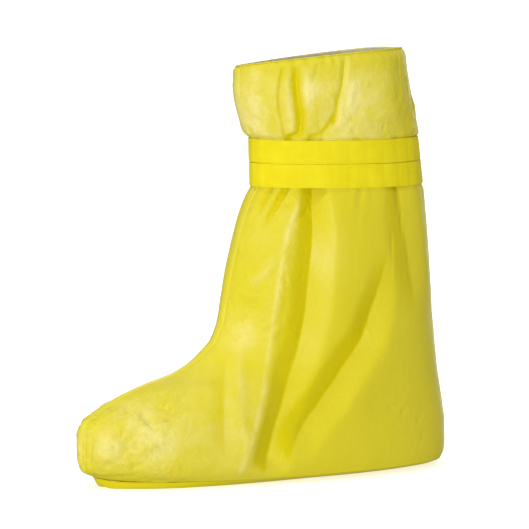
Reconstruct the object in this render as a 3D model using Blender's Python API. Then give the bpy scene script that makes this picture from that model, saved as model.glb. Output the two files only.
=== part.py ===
"""A tall protective overshoe of coated fabric, standing empty on its sole.

The shell is a tube of rings that starts at the sole's edge, closes in over the toe and the instep and
goes up the leg to the collar. Every other piece is laid on that shell, or closes it, by the same function.
Frame: metres, +X towards the toe, +Y the left side, +Z up, origin under the middle of the shoe on the floor.
"""

import math

import bmesh
import bpy
import numpy as np

# Driving sizes, in millimetres
LENGTH = 350.0
HEIGHT = 367.0
BALL_WIDTH = 122.0
WALL = 1.0
SOLE_THICKNESS = 1.3
GAP = 0.3
TAPE_WIDTH = 10.0
TAPE_THICKNESS = 0.5
TIE_THICKNESS = 1.0
ELASTIC_THICKNESS = 0.8

# How far in from its edge the sole bends up to meet the upper, and the groove that takes its seam tape
SOLE_BEND_SIDE = 27.0
SOLE_BEND_TOE = 11.0
SOLE_BEND_HEEL = 18.0
GROOVE_DEPTH = 0.9
GROOVE_HALF_WIDTH = 6.5
GROOVE_FADE = 4.5

# The tie is wound round the leg in two turns, one above the other, and climbs on the right side. Turns are in
# degrees from the front seam, levels in shares of the way from under_tie to over_tie.
TIE_START = -18.0
TIE_END = 606.0
TIE_CLIMB = (250.0, 330.0)
TIE_LEVELS = (0.265, 0.735)
TIE_HALF_HEIGHT = 0.225

# How finely the pieces are cut into faces
POINTS_ROUND = 56
TO_METRES = 0.001

# The rings of the shell, from the sole's edge to the collar. front and back are in percent of LENGTH from the
# heel, front_z and back_z in percent of HEIGHT, width in percent of BALL_WIDTH. A taper of 0.5 is a round end
# and a larger one a more pointed end. lift is the power with which a ring's height falls from front to back,
# and steps the number of faces up to the next ring.
SECTION_COLUMNS = ("front", "front_z", "back", "back_z", "width", "front_taper", "back_taper", "lift", "steps")
SECTIONS = {
    "sole_edge": (95.4, 2.4, 1.15, 1.6, 92.6, 0.56, 0.46, 12.0, 1),
    "toe_tuck": (98.3, 3.95, 0.3, 3.5, 97.5, 0.52, 0.46, 9.0, 2),
    "toe_low": (99.8, 6.8, 0.0, 6.5, 100.0, 0.49, 0.47, 6.0, 1),
    "toe_middle": (100.0, 10.4, 0.0, 10.1, 99.5, 0.49, 0.48, 4.0, 2),
    "toe_crown": (99.3, 14.6, 0.4, 13.9, 97.5, 0.52, 0.49, 2.0, 1),
    "toe_top": (97.1, 16.6, 0.7, 15.8, 96.4, 0.56, 0.50, 1.0, 1),
    "vamp_front": (93.3, 18.8, 1.15, 18.0, 95.0, 0.59, 0.50, 1.0, 2),
    "vamp_middle": (85.6, 22.3, 1.85, 21.5, 93.5, 0.62, 0.50, 1.0, 2),
    "vamp_back": (76.3, 25.0, 2.45, 24.5, 92.6, 0.61, 0.50, 1.0, 1),
    "instep": (71.1, 27.4, 2.85, 27.2, 92.6, 0.60, 0.50, 1.0, 1),
    "instep_top": (68.4, 29.4, 3.15, 29.4, 92.6, 0.58, 0.50, 1.0, 1),
    "bend": (65.1, 32.2, 3.5, 32.2, 93.5, 0.56, 0.50, 1.0, 1),
    "ankle": (63.3, 35.3, 3.9, 35.4, 94.0, 0.54, 0.50, 1.0, 4),
    "leg": (59.9, 50.1, 5.8, 50.1, 96.0, 0.50, 0.50, 1.0, 3),
    "gather": (56.4, 62.1, 7.4, 62.1, 95.5, 0.50, 0.50, 1.0, 2),
    "under_tie": (53.0, 67.3, 8.0, 67.3, 93.0, 0.50, 0.50, 1.0, 2),
    "over_tie": (53.0, 80.1, 9.6, 80.1, 93.0, 0.50, 0.50, 1.0, 2),
    "above_tie": (56.3, 85.3, 10.6, 85.5, 97.5, 0.50, 0.50, 1.0, 2),
    "collar": (57.2, 90.5, 11.85, 91.4, 101.0, 0.50, 0.50, 1.0, 3),
    "rim": (57.0, 96.6, 13.05, 100.0, 103.3, 0.50, 0.50, 1.0, 0),
}
SECTION_NAMES = list(SECTIONS)
TOP = len(SECTION_NAMES) - 1

# The main folds: depth outward and half width in millimetres, then the path as pairs of a place along SECTIONS,
# counted in rows, and a turn from the front seam in degrees. The right side has them a little further back and
# shallower.
FOLDS = {
    "leg_trough": (-5.0, 16.0, ((0.8, 74), (3.2, 78), (7.9, 64), (12.3, 52), (13.2, 52), (14.9, 50))),
    "leg_ridge": (3.0, 14.0, ((0.8, 66), (4.5, 68), (9.0, 52), (12.3, 42), (12.9, 44), (14.6, 40))),
    "leg_hollow": (-5.0, 19.0, ((1.7, 84), (3.5, 88), (6.9, 88), (10.0, 84), (12.0, 86), (12.9, 94))),
    "leg_swell": (2.5, 16.0, ((10.2, 70), (12.4, 66), (13.3, 65), (15.0, 60))),
    "collar_trough": (-4.5, 10.0, ((16.1, 40), (17.3, 52), (18.1, 52), (18.9, 48))),
    "collar_hollow": (-3.5, 10.0, ((16.3, 56), (17.4, 76), (18.3, 80), (18.9, 82))),
}
FOLD_FADE = 0.18
RIGHT_TURN = 7.0
RIGHT_DEPTH = 0.8


def station(name, share=0.0):
    """The place of a named ring along the shell, and a share of the way on to the next ring."""
    return SECTION_NAMES.index(name) + share


def smooth(t):
    """A soft step from 0 to 1."""
    t = np.clip(t, 0.0, 1.0)
    return t * t * (3 - 2 * t)


def section_values(stations):
    """The columns of SECTIONS at any places between its rows, joined by curves that never overshoot a row."""
    rows = np.array(list(SECTIONS.values()), float)
    rises = np.diff(rows, axis=0)
    before, after = rises[:-1], rises[1:]
    same_way = before * after > 0
    slopes = np.zeros_like(rows)
    slopes[0], slopes[-1] = rises[0], rises[-1]
    slopes[1:-1] = np.where(same_way, 2 * before * after / np.where(same_way, before + after, 1.0), 0.0)
    low = np.clip(np.floor(stations).astype(int), 0, TOP - 1)
    t = (stations - low)[..., None]
    value = rows[low] + (rows[low + 1] - rows[low]) * smooth(t)
    value += slopes[low] * t * (1 - t) ** 2 - slopes[low + 1] * t * t * (1 - t)
    return dict(zip(SECTION_COLUMNS, np.moveaxis(value, -1, 0)))


def bare_shell(stations, angles):
    """Points of the shell without its folds.

    Angle 0 is the front seam, a quarter turn the left side and half a turn the back seam.
    """
    stations, angles = np.broadcast_arrays(np.asarray(stations, float), np.asarray(angles, float))
    ring = section_values(stations)
    along = (1 - np.cos(angles)) / 2
    widest = ring["front_taper"] / (ring["front_taper"] + ring["back_taper"])
    outline = (along / widest) ** ring["front_taper"] * ((1 - along) / (1 - widest)) ** ring["back_taper"]
    x = (ring["front"] + (ring["back"] - ring["front"]) * along) / 100 * LENGTH - LENGTH / 2
    y = np.sign(np.sin(angles)) * outline * ring["width"] / 100 * BALL_WIDTH / 2
    fall = (1 - along) ** ring["lift"]
    z = (ring["back_z"] + (ring["front_z"] - ring["back_z"]) * fall) / 100 * HEIGHT
    return np.stack([x, y, z], axis=-1)


def shell_directions(stations, angles):
    """The way round the shell, per radian, and the outward normal."""
    nudge = 1e-3
    stations, angles = np.broadcast_arrays(np.asarray(stations, float), np.asarray(angles, float))
    above, below = np.minimum(stations + nudge, TOP), np.maximum(stations - nudge, 0)
    up = bare_shell(above, angles) - bare_shell(below, angles)
    around = (bare_shell(stations, angles + nudge) - bare_shell(stations, angles - nudge)) / (2 * nudge)
    normals = np.cross(around, up)
    return around, normals / np.linalg.norm(normals, axis=-1, keepdims=True)


def fold_depth(stations, angles, around):
    """How far the folds move the shell outward: a soft trough or ridge along each path."""
    turn = np.degrees(np.mod(angles, 2 * math.pi))
    right = turn > 180
    turn = np.where(right, 360 - turn, turn)
    pace = np.linalg.norm(around, axis=-1) * math.pi / 180
    total = np.zeros_like(turn)
    for depth, width, path in FOLDS.values():
        places, turns = np.array(path, float).T
        centre = np.interp(stations, places, turns) + np.where(right, RIGHT_TURN, 0.0)
        share = (stations - places[0]) / (places[-1] - places[0])
        fade = smooth(share / FOLD_FADE) * smooth((1 - share) / FOLD_FADE)
        bump = np.exp(-(((turn - centre) * pace / width) ** 2))
        total += depth * np.where(right, RIGHT_DEPTH, 1.0) * fade * bump
    return total


def laid_on_shell(stations, angles, offset=0.0):
    """Points of the folded shell, moved outward by offset in millimetres."""
    stations, angles = np.broadcast_arrays(np.asarray(stations, float), np.asarray(angles, float))
    around, normals = shell_directions(stations, angles)
    rise = fold_depth(stations, angles, around) + offset
    return bare_shell(stations, angles) + normals * rise[..., None]


def grid_object(name, grid, material, thickness, closed_round=False):
    """An object from a grid of points on its outer face, given its thickness inward by Solidify."""
    rows, columns = grid.shape[:2]
    mesh = bpy.data.meshes.new(name)
    shape = bmesh.new()
    made = [[shape.verts.new(point * TO_METRES) for point in row] for row in grid]
    for low, high in zip(made[:-1], made[1:]):
        for column in range(columns if closed_round else columns - 1):
            following = (column + 1) % columns
            shape.faces.new([low[column], low[following], high[following], high[column]])
    bmesh.ops.remove_doubles(shape, verts=shape.verts, dist=1e-6)
    bmesh.ops.dissolve_degenerate(shape, edges=shape.edges, dist=1e-6)
    shape.to_mesh(mesh)
    shape.free()
    mesh.shade_smooth()
    obj = bpy.data.objects.new(name, mesh)
    bpy.context.scene.collection.objects.link(obj)
    mesh.materials.append(material)
    solidify = obj.modifiers.new("thickness", "SOLIDIFY")
    solidify.thickness = thickness * TO_METRES
    solidify.offset = -1.0
    return obj


def principled(name, colour, roughness):
    """A plain material of one colour, given as linear red, green and blue."""
    material = bpy.data.materials.new(name)
    material.use_nodes = True
    shader = material.node_tree.nodes["Principled BSDF"]
    shader.inputs["Base Color"].default_value = (*colour, 1.0)
    shader.inputs["Roughness"].default_value = roughness
    shader.inputs["Metallic"].default_value = 0.0
    return material


def ring_angles():
    """The turns of the points round each ring, in radians."""
    return np.arange(POINTS_ROUND) * 2 * math.pi / POINTS_ROUND


def ring_stations():
    """The places of all rings of the upper's mesh."""
    places = [0.0]
    for index, name in enumerate(SECTION_NAMES[:-1]):
        steps = SECTIONS[name][-1]
        places += [index + (step + 1) / steps for step in range(steps)]
    return np.array(places)


def build_upper(material):
    """The hollow shell, open at the collar and underneath."""
    grid = laid_on_shell(ring_stations()[:, None], ring_angles()[None, :])
    return grid_object("upper", grid, material, WALL, closed_round=True)


def sole_height(x, y):
    """The underside of the sole: flat, bent up along its edge to the upper's first ring, grooved in the middle."""
    edge_angles = np.linspace(0, 2 * math.pi, 1440, endpoint=False)
    edge = bare_shell(0.0, edge_angles)
    towards_toe = (1 + np.cos(edge_angles)) / 2
    bend = SOLE_BEND_SIDE + (SOLE_BEND_TOE - SOLE_BEND_SIDE) * towards_toe**8
    bend += (SOLE_BEND_HEEL - SOLE_BEND_SIDE) * (1 - towards_toe) ** 8
    slope = 2 * edge[:, 2] / bend
    rim = edge[:, 2] - GAP - SOLE_THICKNESS / np.sqrt(1 + slope**2)
    away = np.hypot(x[..., None] - edge[:, 0], y[..., None] - edge[:, 1])
    nearest = away.argmin(axis=-1)
    inward = np.clip(1 - away.min(axis=-1) / bend[nearest], 0, 1)
    groove = GROOVE_DEPTH * (1 - smooth((np.abs(y) - GROOVE_HALF_WIDTH) / GROOVE_FADE))
    return rim[nearest] * inward**2 + groove * (1 - inward)


def sole_rows():
    """The angles of the rows across the sole, from toe to heel."""
    return ring_angles()[: POINTS_ROUND // 2 + 1]


def sole_lines(half_width):
    """Distances from the middle of the lines along the sole: rim, bend, edge of the flat, groove, middle."""
    groove = np.minimum(GROOVE_HALF_WIDTH, 0.2 * half_width)
    groove_end = np.minimum(GROOVE_HALF_WIDTH + GROOVE_FADE, 0.33 * half_width)
    flat = np.maximum(half_width - SOLE_BEND_SIDE, 0.45 * half_width)
    bend = (flat + half_width) / 2
    return np.stack([half_width, bend, flat, groove_end, groove, 0 * half_width], axis=1)


def build_sole(material):
    """The fabric sole panel, from the underside up."""
    edge = bare_shell(0.0, sole_rows())
    left = sole_lines(edge[:, 1])
    y = np.concatenate([left, -left[:, -2::-1]], axis=1)
    x = np.broadcast_to(edge[:, 0][:, None], y.shape)
    grid = np.stack([x, y, sole_height(x, y)], axis=-1)
    return grid_object("sole", grid, material, SOLE_THICKNESS)


def build_sole_tape(material):
    """The tape over the seam along the middle of the sole, set in its groove."""
    x = bare_shell(0.0, sole_rows())[2:-2, 0][:, None]
    y = np.array([0.5, 0.0, -0.5])[None, :] * TAPE_WIDTH
    x, y = np.broadcast_arrays(x, y)
    z = sole_height(x, np.zeros_like(y)) - GAP - TAPE_THICKNESS
    return grid_object("sole_seam_tape", np.stack([x, y, z], axis=-1), material, TAPE_THICKNESS)


def build_seam_tape(name, material, seam_angle, strips):
    """A tape of one width laid along the front or the back seam."""
    inner = ring_stations()[1:-1]
    stations = np.concatenate([[0.4], inner, [TOP - 0.06]])
    spread = np.linspace(0, 0.4, 200)
    angles = []
    for place in stations:
        side = np.abs(bare_shell(place, seam_angle + spread)[:, 1])
        reach = np.interp(TAPE_WIDTH / 2, side, spread)
        angles.append(seam_angle + np.linspace(-reach, reach, strips + 1))
    grid = laid_on_shell(stations[:, None], np.array(angles), GAP + TAPE_THICKNESS)
    return grid_object(name, grid, material, TAPE_THICKNESS)


def build_tie(material):
    """The flat tie, wound twice round the leg and raised where it passes over the seam tapes."""
    step = 360 / POINTS_ROUND
    turns = step * np.arange(round(TIE_START / step), round(TIE_END / step) + 1)
    climb = smooth((turns - TIE_CLIMB[0]) / (TIE_CLIMB[1] - TIE_CLIMB[0]))
    level = TIE_LEVELS[0] + (TIE_LEVELS[1] - TIE_LEVELS[0]) * climb
    edges = np.array([-TIE_HALF_HEIGHT, TIE_HALF_HEIGHT])[:, None]
    stations = station("under_tie") + level[None, :] + edges
    angles = np.broadcast_to(np.radians(turns)[None, :], stations.shape)
    side = np.abs(bare_shell(stations, angles)[..., 1])
    over_tape = (TAPE_THICKNESS + 1.3 * GAP) * (1 - smooth((side - 7.0) / 9.0))
    grid = laid_on_shell(stations, angles, GAP + TIE_THICKNESS + over_tape)
    return grid_object("tie_wrap", grid, material, TIE_THICKNESS)


def build_elastic(material):
    """The elastic band sewn inside the collar, just under its edge."""
    places = np.array([station("collar", 1 / 3), station("collar", 2 / 3), station("collar", 0.94)])
    grid = laid_on_shell(places[:, None], ring_angles()[None, :], -WALL - 2 * GAP)
    return grid_object("collar_elastic", grid, material, ELASTIC_THICKNESS, closed_round=True)


def main():
    for obj in list(bpy.data.objects):
        bpy.data.objects.remove(obj)
    coated = principled("coated_fabric", (0.80, 0.68, 0.06), 0.35)
    tape = principled("seam_tape", (0.80, 0.66, 0.05), 0.30)
    tie = principled("tie_fabric", (0.87, 0.73, 0.02), 0.45)
    elastic = principled("collar_elastic", (0.75, 0.73, 0.62), 0.80)
    build_upper(coated)
    build_sole(coated)
    build_sole_tape(tape)
    build_seam_tape("front_seam_tape", tape, 0.0, 4)
    build_seam_tape("back_seam_tape", tape, math.pi, 2)
    build_tie(tie)
    build_elastic(elastic)


main()
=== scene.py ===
# %% [markdown]
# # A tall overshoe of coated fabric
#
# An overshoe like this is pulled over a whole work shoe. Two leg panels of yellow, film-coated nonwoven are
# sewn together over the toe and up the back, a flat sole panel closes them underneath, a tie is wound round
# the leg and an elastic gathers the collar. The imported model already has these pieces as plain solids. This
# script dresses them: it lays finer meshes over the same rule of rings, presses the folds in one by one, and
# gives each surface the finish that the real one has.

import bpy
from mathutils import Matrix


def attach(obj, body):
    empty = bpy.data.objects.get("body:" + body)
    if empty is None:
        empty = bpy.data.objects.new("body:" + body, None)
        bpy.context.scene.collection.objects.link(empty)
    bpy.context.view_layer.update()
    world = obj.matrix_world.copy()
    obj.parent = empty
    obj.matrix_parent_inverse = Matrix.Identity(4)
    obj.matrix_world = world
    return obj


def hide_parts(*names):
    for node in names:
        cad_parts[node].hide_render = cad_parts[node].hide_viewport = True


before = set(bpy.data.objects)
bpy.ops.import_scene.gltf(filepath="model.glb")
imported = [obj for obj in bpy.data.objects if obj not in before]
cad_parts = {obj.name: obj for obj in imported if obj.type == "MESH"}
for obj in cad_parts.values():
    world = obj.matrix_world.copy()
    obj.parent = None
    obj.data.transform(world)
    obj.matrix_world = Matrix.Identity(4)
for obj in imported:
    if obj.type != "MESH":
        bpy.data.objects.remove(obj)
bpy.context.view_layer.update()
print("solids in the frame:", ", ".join(sorted(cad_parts)))

# %% Modules that the cells below use
import math

import bpy
import numpy as np
from mathutils import Vector, noise

# %% [markdown]
# ## The shell as a rule
#
# The fabric has no flat face to start from, so a box with a Subdivision Surface would need a lot of pushing.
# A shoe is easier to say as rings: each row below is one ring round the shoe, from the sole's edge to the
# collar, and any point in between is read from smooth curves through the rows. A place on the shoe is then
# just a pair: how many rows up (its station), and how many degrees round from the front seam. The left side
# is at 90.

# %% Rings of the shell, in shares of the shoe's own sizes
LENGTH = 350.0
HEIGHT = 367.0
BALL_WIDTH = 122.0
# front and back are percents of the length, their heights percents of the height, width one of the ball's;
# a taper says how pointed an end is, and lift how near to the front a ring takes on the front's height
RING_COLUMNS = ("front", "front_z", "back", "back_z", "width", "front_taper", "back_taper", "lift")
RINGS = {
    "sole_edge": (96.2, 2.4, 1.15, 1.6, 92.6, 0.56, 0.46, 12.0),
    "toe_tuck": (99.2, 3.95, 0.3, 3.5, 97.5, 0.52, 0.46, 9.0),
    "toe_low": (100.0, 6.8, 0.0, 6.5, 100.0, 0.49, 0.47, 6.0),
    "toe_middle": (100.0, 10.4, 0.0, 10.1, 99.5, 0.49, 0.48, 4.0),
    "toe_crown": (99.3, 14.6, 0.4, 13.9, 97.5, 0.52, 0.49, 2.0),
    "toe_top": (97.1, 16.6, 0.7, 15.8, 96.4, 0.56, 0.50, 1.0),
    "vamp_front": (93.0, 18.8, 1.15, 18.0, 95.0, 0.59, 0.50, 1.0),
    "vamp_middle": (84.9, 22.3, 1.85, 21.5, 93.5, 0.62, 0.50, 1.0),
    "vamp_back": (75.4, 25.0, 2.45, 24.5, 92.6, 0.61, 0.50, 1.0),
    "instep": (70.3, 27.4, 2.85, 27.2, 92.6, 0.60, 0.50, 1.0),
    "instep_top": (67.6, 29.4, 3.15, 29.4, 92.6, 0.58, 0.50, 1.0),
    "bend": (64.4, 32.2, 3.5, 32.2, 93.5, 0.56, 0.50, 1.0),
    "ankle": (62.7, 35.3, 3.9, 35.4, 94.0, 0.54, 0.50, 1.0),
    "leg": (59.3, 50.1, 5.8, 50.1, 96.0, 0.50, 0.43, 1.0),
    "gather": (55.7, 62.1, 7.4, 62.1, 95.5, 0.50, 0.40, 1.0),
    "under_tie": (53.0, 67.4, 8.0, 67.4, 93.0, 0.50, 0.40, 1.0),
    "over_tie": (53.3, 79.5, 9.6, 79.5, 93.0, 0.50, 0.40, 1.0),
    "above_tie": (54.6, 80.3, 9.9, 80.4, 93.8, 0.52, 0.37, 1.0),
    "collar": (57.7, 90.5, 13.3, 91.4, 98.0, 0.54, 0.33, 1.0),
    "rim": (57.6, 97.1, 15.0, 100.9, 101.0, 0.54, 0.33, 1.0),
}
TOP = len(RINGS) - 1
UNDER_TIE = list(RINGS).index("under_tie")


def smooth(t):
    """A soft step from 0 to 1."""
    t = np.clip(t, 0.0, 1.0)
    return t * t * (3 - 2 * t)


def ring_values(stations):
    """The columns of RINGS at any places between its rows, on curves that never overshoot a row.

    Only at the tie, which pinches the leg, do the curves meet in a sharp bend.
    """
    rows = np.array(list(RINGS.values()), float)
    rises = np.diff(rows, axis=0)
    before, after = rises[:-1], rises[1:]
    same_way = before * after > 0
    slopes = np.zeros_like(rows)
    slopes[0], slopes[-1] = rises[0], rises[-1]
    slopes[1:-1] = np.where(same_way, 2 * before * after / np.where(same_way, before + after, 1.0), 0.0)
    leaving, arriving = slopes.copy(), slopes.copy()
    arriving[UNDER_TIE], leaving[UNDER_TIE + 1] = rises[UNDER_TIE - 1], rises[UNDER_TIE + 1]
    leaving[UNDER_TIE] = arriving[UNDER_TIE + 1] = rises[UNDER_TIE]
    low = np.clip(np.floor(stations).astype(int), 0, TOP - 1)
    t = (stations - low)[..., None]
    value = rows[low] + (rows[low + 1] - rows[low]) * smooth(t)
    value += leaving[low] * t * (1 - t) ** 2 - arriving[low + 1] * t * t * (1 - t)
    return dict(zip(RING_COLUMNS, np.moveaxis(value, -1, 0)))


# %% Points and outward directions of the bare shell
def bare_shell(stations, angles):
    """Points of the shell without its folds, in millimetres."""
    stations, angles = np.broadcast_arrays(np.asarray(stations, float), np.asarray(angles, float))
    ring = ring_values(stations)
    along = (1 - np.cos(angles)) / 2
    widest = ring["front_taper"] / (ring["front_taper"] + ring["back_taper"])
    outline = (along / widest) ** ring["front_taper"] * ((1 - along) / (1 - widest)) ** ring["back_taper"]
    x = (ring["front"] + (ring["back"] - ring["front"]) * along) / 100 * LENGTH - LENGTH / 2
    y = np.sign(np.sin(angles)) * outline * ring["width"] / 100 * BALL_WIDTH / 2
    fall = (1 - along) ** ring["lift"]
    z = (ring["back_z"] + (ring["front_z"] - ring["back_z"]) * fall) / 100 * HEIGHT
    return np.stack([x, y, z], axis=-1)


def shell_normals(stations, angles):
    """The outward directions of the shell without its folds."""
    nudge = 1e-3
    higher, lower = np.minimum(stations + nudge, TOP), np.maximum(stations - nudge, 0)
    up = bare_shell(higher, angles) - bare_shell(lower, angles)
    around = bare_shell(stations, angles + nudge) - bare_shell(stations, angles - nudge)
    normals = np.cross(around, up)
    return normals / np.linalg.norm(normals, axis=-1, keepdims=True)


leg_side = bare_shell(UNDER_TIE - 2.0, math.pi / 2)
print("rings:", len(RINGS), "- the left side, half way up the leg:", leg_side.round(1), "mm")

# %% [markdown]
# ## Folds listed one by one
#
# The tie pinches the leg, so the spare fabric runs down from it in long folds. A cloth simulation would give
# some folds, but not these ones. Each row below is one fold that shows: how far it moves the fabric out (or
# in, when negative), how far its wall reaches on its toe side and its heel side, how rounded its crest is,
# all in millimetres, how much wider it gets below its start, what share of it fades in and out at its ends,
# and its path from the top down as (station, degrees). Coated fabric bends in flat planes with a crisp line
# between them, so a fold is a soft tent and not a round bell.

# %% The main folds
MAIN_FOLDS = {
    "leg_valley": (-9.5, 9.0, 12.0, 0.4, 1.7, 0.04, 0.06, (
        (15.6, 53), (15.05, 55), (14.45, 57.3), (13.6, 62), (12.9, 63.2), (12.25, 63.4), (10.1, 66.3),
        (7.48, 75.5), (6.06, 82.9), (3.95, 84.6), (2.77, 83), (1.18, 81), (0.3, 79))),
    "leg_ridge": (2.0, 14.0, 8.0, 0.4, 1.2, 0.08, 0.03, (
        (15.1, 50), (14.45, 49), (13.6, 46.7), (12.9, 46.3), (12.25, 46), (9.61, 54), (7.33, 67.5),
        (6.07, 74.8), (4.06, 77.5), (2.93, 76), (1.65, 73.5), (0.54, 71))),
    "instep_ridge": (1.5, 8.0, 7.0, 1.0, 1.2, 0.35, 0.15, (
        (11.7, 25.6), (10.47, 33.5), (8.99, 42.5), (7.32, 58), (6.1, 68), (4.11, 73), (2.95, 74.5),
        (1.87, 73.5))),
    "instep_hollow": (-1.3, 10.0, 7.0, 2.0, 1.0, 0.3, 0.25, (
        (10.89, 19.5), (9.1, 33.2), (7.46, 49.8), (6.19, 61.9), (4.19, 67.4), (2.98, 67.8), (1.87, 68))),
    "back_valley": (-10.5, 13.0, 13.0, 0.5, 1.5, 0.42, 0.2, (
        (13.4, 110), (12.4, 101), (10.91, 96.8), (8.97, 93.8), (7.11, 96), (5.79, 96.2), (3.81, 93.8),
        (2.67, 90), (1.08, 86.5))),
    "back_ridge": (2.2, 14.0, 26.0, 2.0, 1.0, 0.25, 0.3, (
        (12.2, 114), (11.0, 107), (9.0, 104), (6.9, 106), (3.1, 104))),
    "leg_swell": (2.0, 16.0, 26.0, 8.0, 1.2, 0.1, 0.4, ((15.1, 70), (13.3, 77), (12.4, 79), (10.2, 80))),
    "heel_valley": (-4.5, 12.0, 12.0, 2.5, 1.8, 0.1, 0.4, (
        (15.5, 118), (14.0, 121), (13.0, 127), (12.0, 132))),
    "tie_crease": (-4.6, 4.5, 3.0, 0.4, 1.0, 0.05, 0.45, (
        (15.5, 37), (15.05, 35.5), (14.5, 33), (13.9, 30), (13.5, 28))),
    "tie_crease_front": (-3.4, 4.0, 3.0, 0.4, 1.0, 0.05, 0.5, (
        (15.5, 21), (15.05, 20.5), (14.5, 20), (13.8, 18))),
    "collar_crease": (-1.9, 2.2, 3.5, 0.4, 1.0, 0.1, 0.25, (
        (19.0, 47.5), (18.7, 47.3), (18.2, 45.7), (17.74, 43.7), (17.3, 42), (16.65, 39), (16.1, 37.5),
        (15.6, 36))),
    "collar_valley": (-3.8, 4.5, 3.0, 0.4, 1.0, 0.2, 0.3, (
        (19.0, 56.5), (18.7, 56.8), (18.2, 56.8), (17.74, 57), (17.35, 54.5), (17.0, 50), (16.65, 45),
        (16.1, 41), (15.6, 39))),
    "collar_ridge": (1.0, 3.0, 8.0, 0.5, 1.0, 0.15, 0.15, (
        (18.9, 64), (18.2, 63.5), (17.74, 63), (17.3, 58), (16.7, 49))),
    "collar_back_crease": (-2.0, 4.0, 3.0, 0.4, 1.0, 0.15, 0.1, (
        (19.0, 88.5), (18.7, 88), (18.2, 86.5), (17.74, 82), (17.4, 77), (17.3, 74))),
    "collar_bend": (-1.6, 4.0, 5.0, 0.4, 1.0, 0.15, 0.25, (
        (17.6, 81), (17.45, 76), (17.25, 70), (17.0, 64), (16.65, 59), (16.1, 56), (15.6, 54))),
    "collar_heel_valley": (-0.5, 8.0, 9.0, 2.0, 1.0, 0.2, 0.05, (
        (19.0, 130), (17.8, 128), (16.8, 132), (15.6, 133))),
    "collar_swell": (3.6, 40.0, 30.0, 6.0, 1.0, 0.1, 0.3, (
        (19.0, 118), (18.4, 117), (17.7, 115), (16.7, 111))),
}
print("main folds:", len(MAIN_FOLDS))

# %% The small folds
SMALL_FOLDS = {
    "leg_diagonal": (2.0, 4.0, 7.0, 0.5, 1.0, 0.3, 0.4, (
        (13.3, 41), (12.85, 34), (12.74, 26), (12.66, 19))),
    "leg_crinkle_high": (-1.6, 3.0, 4.0, 0.4, 1.0, 0.3, 0.3, (
        (12.36, 8), (12.44, 20), (12.46, 30), (12.46, 40))),
    "leg_crinkle_mid": (1.0, 2.5, 4.0, 0.4, 1.0, 0.3, 0.3, (
        (12.55, 14), (12.6, 22), (12.58, 31), (12.66, 37))),
    "leg_crinkle_low": (-1.4, 3.0, 3.0, 0.4, 1.0, 0.3, 0.3, ((12.12, 12), (12.26, 21), (12.3, 31))),
    "leg_crinkle_side": (-1.1, 2.5, 3.0, 0.4, 1.0, 0.3, 0.3, (
        (12.2, 38), (12.05, 31), (11.8, 27), (11.5, 25))),
    "leg_streak": (1.4, 5.0, 6.0, 1.0, 1.2, 0.3, 0.4, ((12.3, 19), (11.3, 30), (10.1, 38))),
    "collar_front": (0.9, 9.0, 6.0, 2.0, 1.0, 0.2, 0.4, ((19.0, 27), (18.2, 26), (17.4, 24))),
    "collar_tongue": (1.0, 3.0, 3.5, 0.5, 1.0, 0.2, 0.2, (
        (18.8, 52), (18.2, 51), (17.74, 50.5), (17.3, 47.5), (16.8, 41))),
    "collar_tick": (-1.3, 2.5, 2.5, 0.4, 1.0, 0.3, 0.3, ((17.15, 68), (16.65, 66), (16.1, 64), (15.6, 63))),
    "collar_small": (-0.7, 2.5, 3.0, 0.4, 1.0, 0.2, 0.4, ((18.9, 72), (18.6, 70), (18.1, 66))),
    "collar_glint": (1.2, 4.0, 5.0, 0.5, 1.0, 0.3, 0.3, ((18.3, 95), (18.0, 92), (17.6, 88))),
    "collar_slope": (-0.6, 3.0, 5.0, 0.5, 1.0, 0.3, 0.3, (
        (17.8, 100), (17.5, 90), (17.25, 80), (17.0, 73))),
    "toe_bulge": (2.4, 12.0, 11.0, 4.0, 1.0, 0.35, 0.35, ((4.0, 24), (3.0, 24), (1.4, 22))),
    "toe_dent": (-1.0, 6.0, 5.0, 0.6, 1.0, 0.35, 0.35, ((3.5, 37), (2.8, 33), (2.1, 30))),
    "toe_dent_tail": (-0.7, 4.0, 5.0, 0.5, 1.0, 0.3, 0.4, ((3.0, 34), (3.3, 41), (3.9, 47))),
    "toe_side_swell": (1.8, 13.0, 13.0, 5.0, 1.0, 0.4, 0.4, ((4.0, 38), (3.2, 42), (2.4, 43))),
    "toe_top_swell": (1.6, 12.0, 12.0, 4.0, 1.0, 0.4, 0.4, ((5.8, 25), (5.1, 32), (5.6, 38))),
    "toe_fold": (-1.5, 4.0, 6.0, 0.5, 1.0, 0.3, 0.35, ((5.9, 31), (5.3, 36), (4.1, 45))),
    "toe_panel_edge": (-2.4, 3.0, 4.0, 0.4, 1.0, 0.2, 0.2, ((3.8, 12.5), (2.6, 12), (1.3, 10.5))),
    "toe_panel_line": (-1.8, 2.2, 2.2, 0.4, 1.0, 0.2, 0.2, ((3.7, 8), (2.6, 7.5), (1.4, 6.5))),
    "toe_pucker": (-1.5, 3.0, 4.0, 0.5, 1.0, 0.3, 0.3, ((4.1, 2), (4.0, 10), (3.8, 19))),
    "toe_pucker_high": (-1.2, 3.0, 4.0, 0.5, 1.0, 0.3, 0.3, ((4.5, 8), (4.4, 14), (4.1, 22))),
    "toe_pucker_top": (-1.1, 3.0, 4.0, 0.5, 1.0, 0.3, 0.3, ((4.9, 3), (4.9, 12), (4.5, 20))),
    "lip_crease": (-1.0, 3.0, 4.0, 0.5, 1.0, 0.2, 0.4, ((0.5, 2), (0.5, 12), (0.7, 28), (0.9, 42))),
}
print("small folds:", len(SMALL_FOLDS))

# %% A fold as a soft tent along its path
FOLD_STEPS = 120
FOLD_REACH = 3
WALL_FOOT = 0.18
FULL_WIDTH_BY = 0.35
CREST_BLEND = 1.5
FACING_FROM = 0.1
FACING_BLEND = 0.4
# the right side repeats the folds, turned by some degrees and shallower
RIGHT_TURN = 7.0
RIGHT_DEPTH = 0.8


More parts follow.
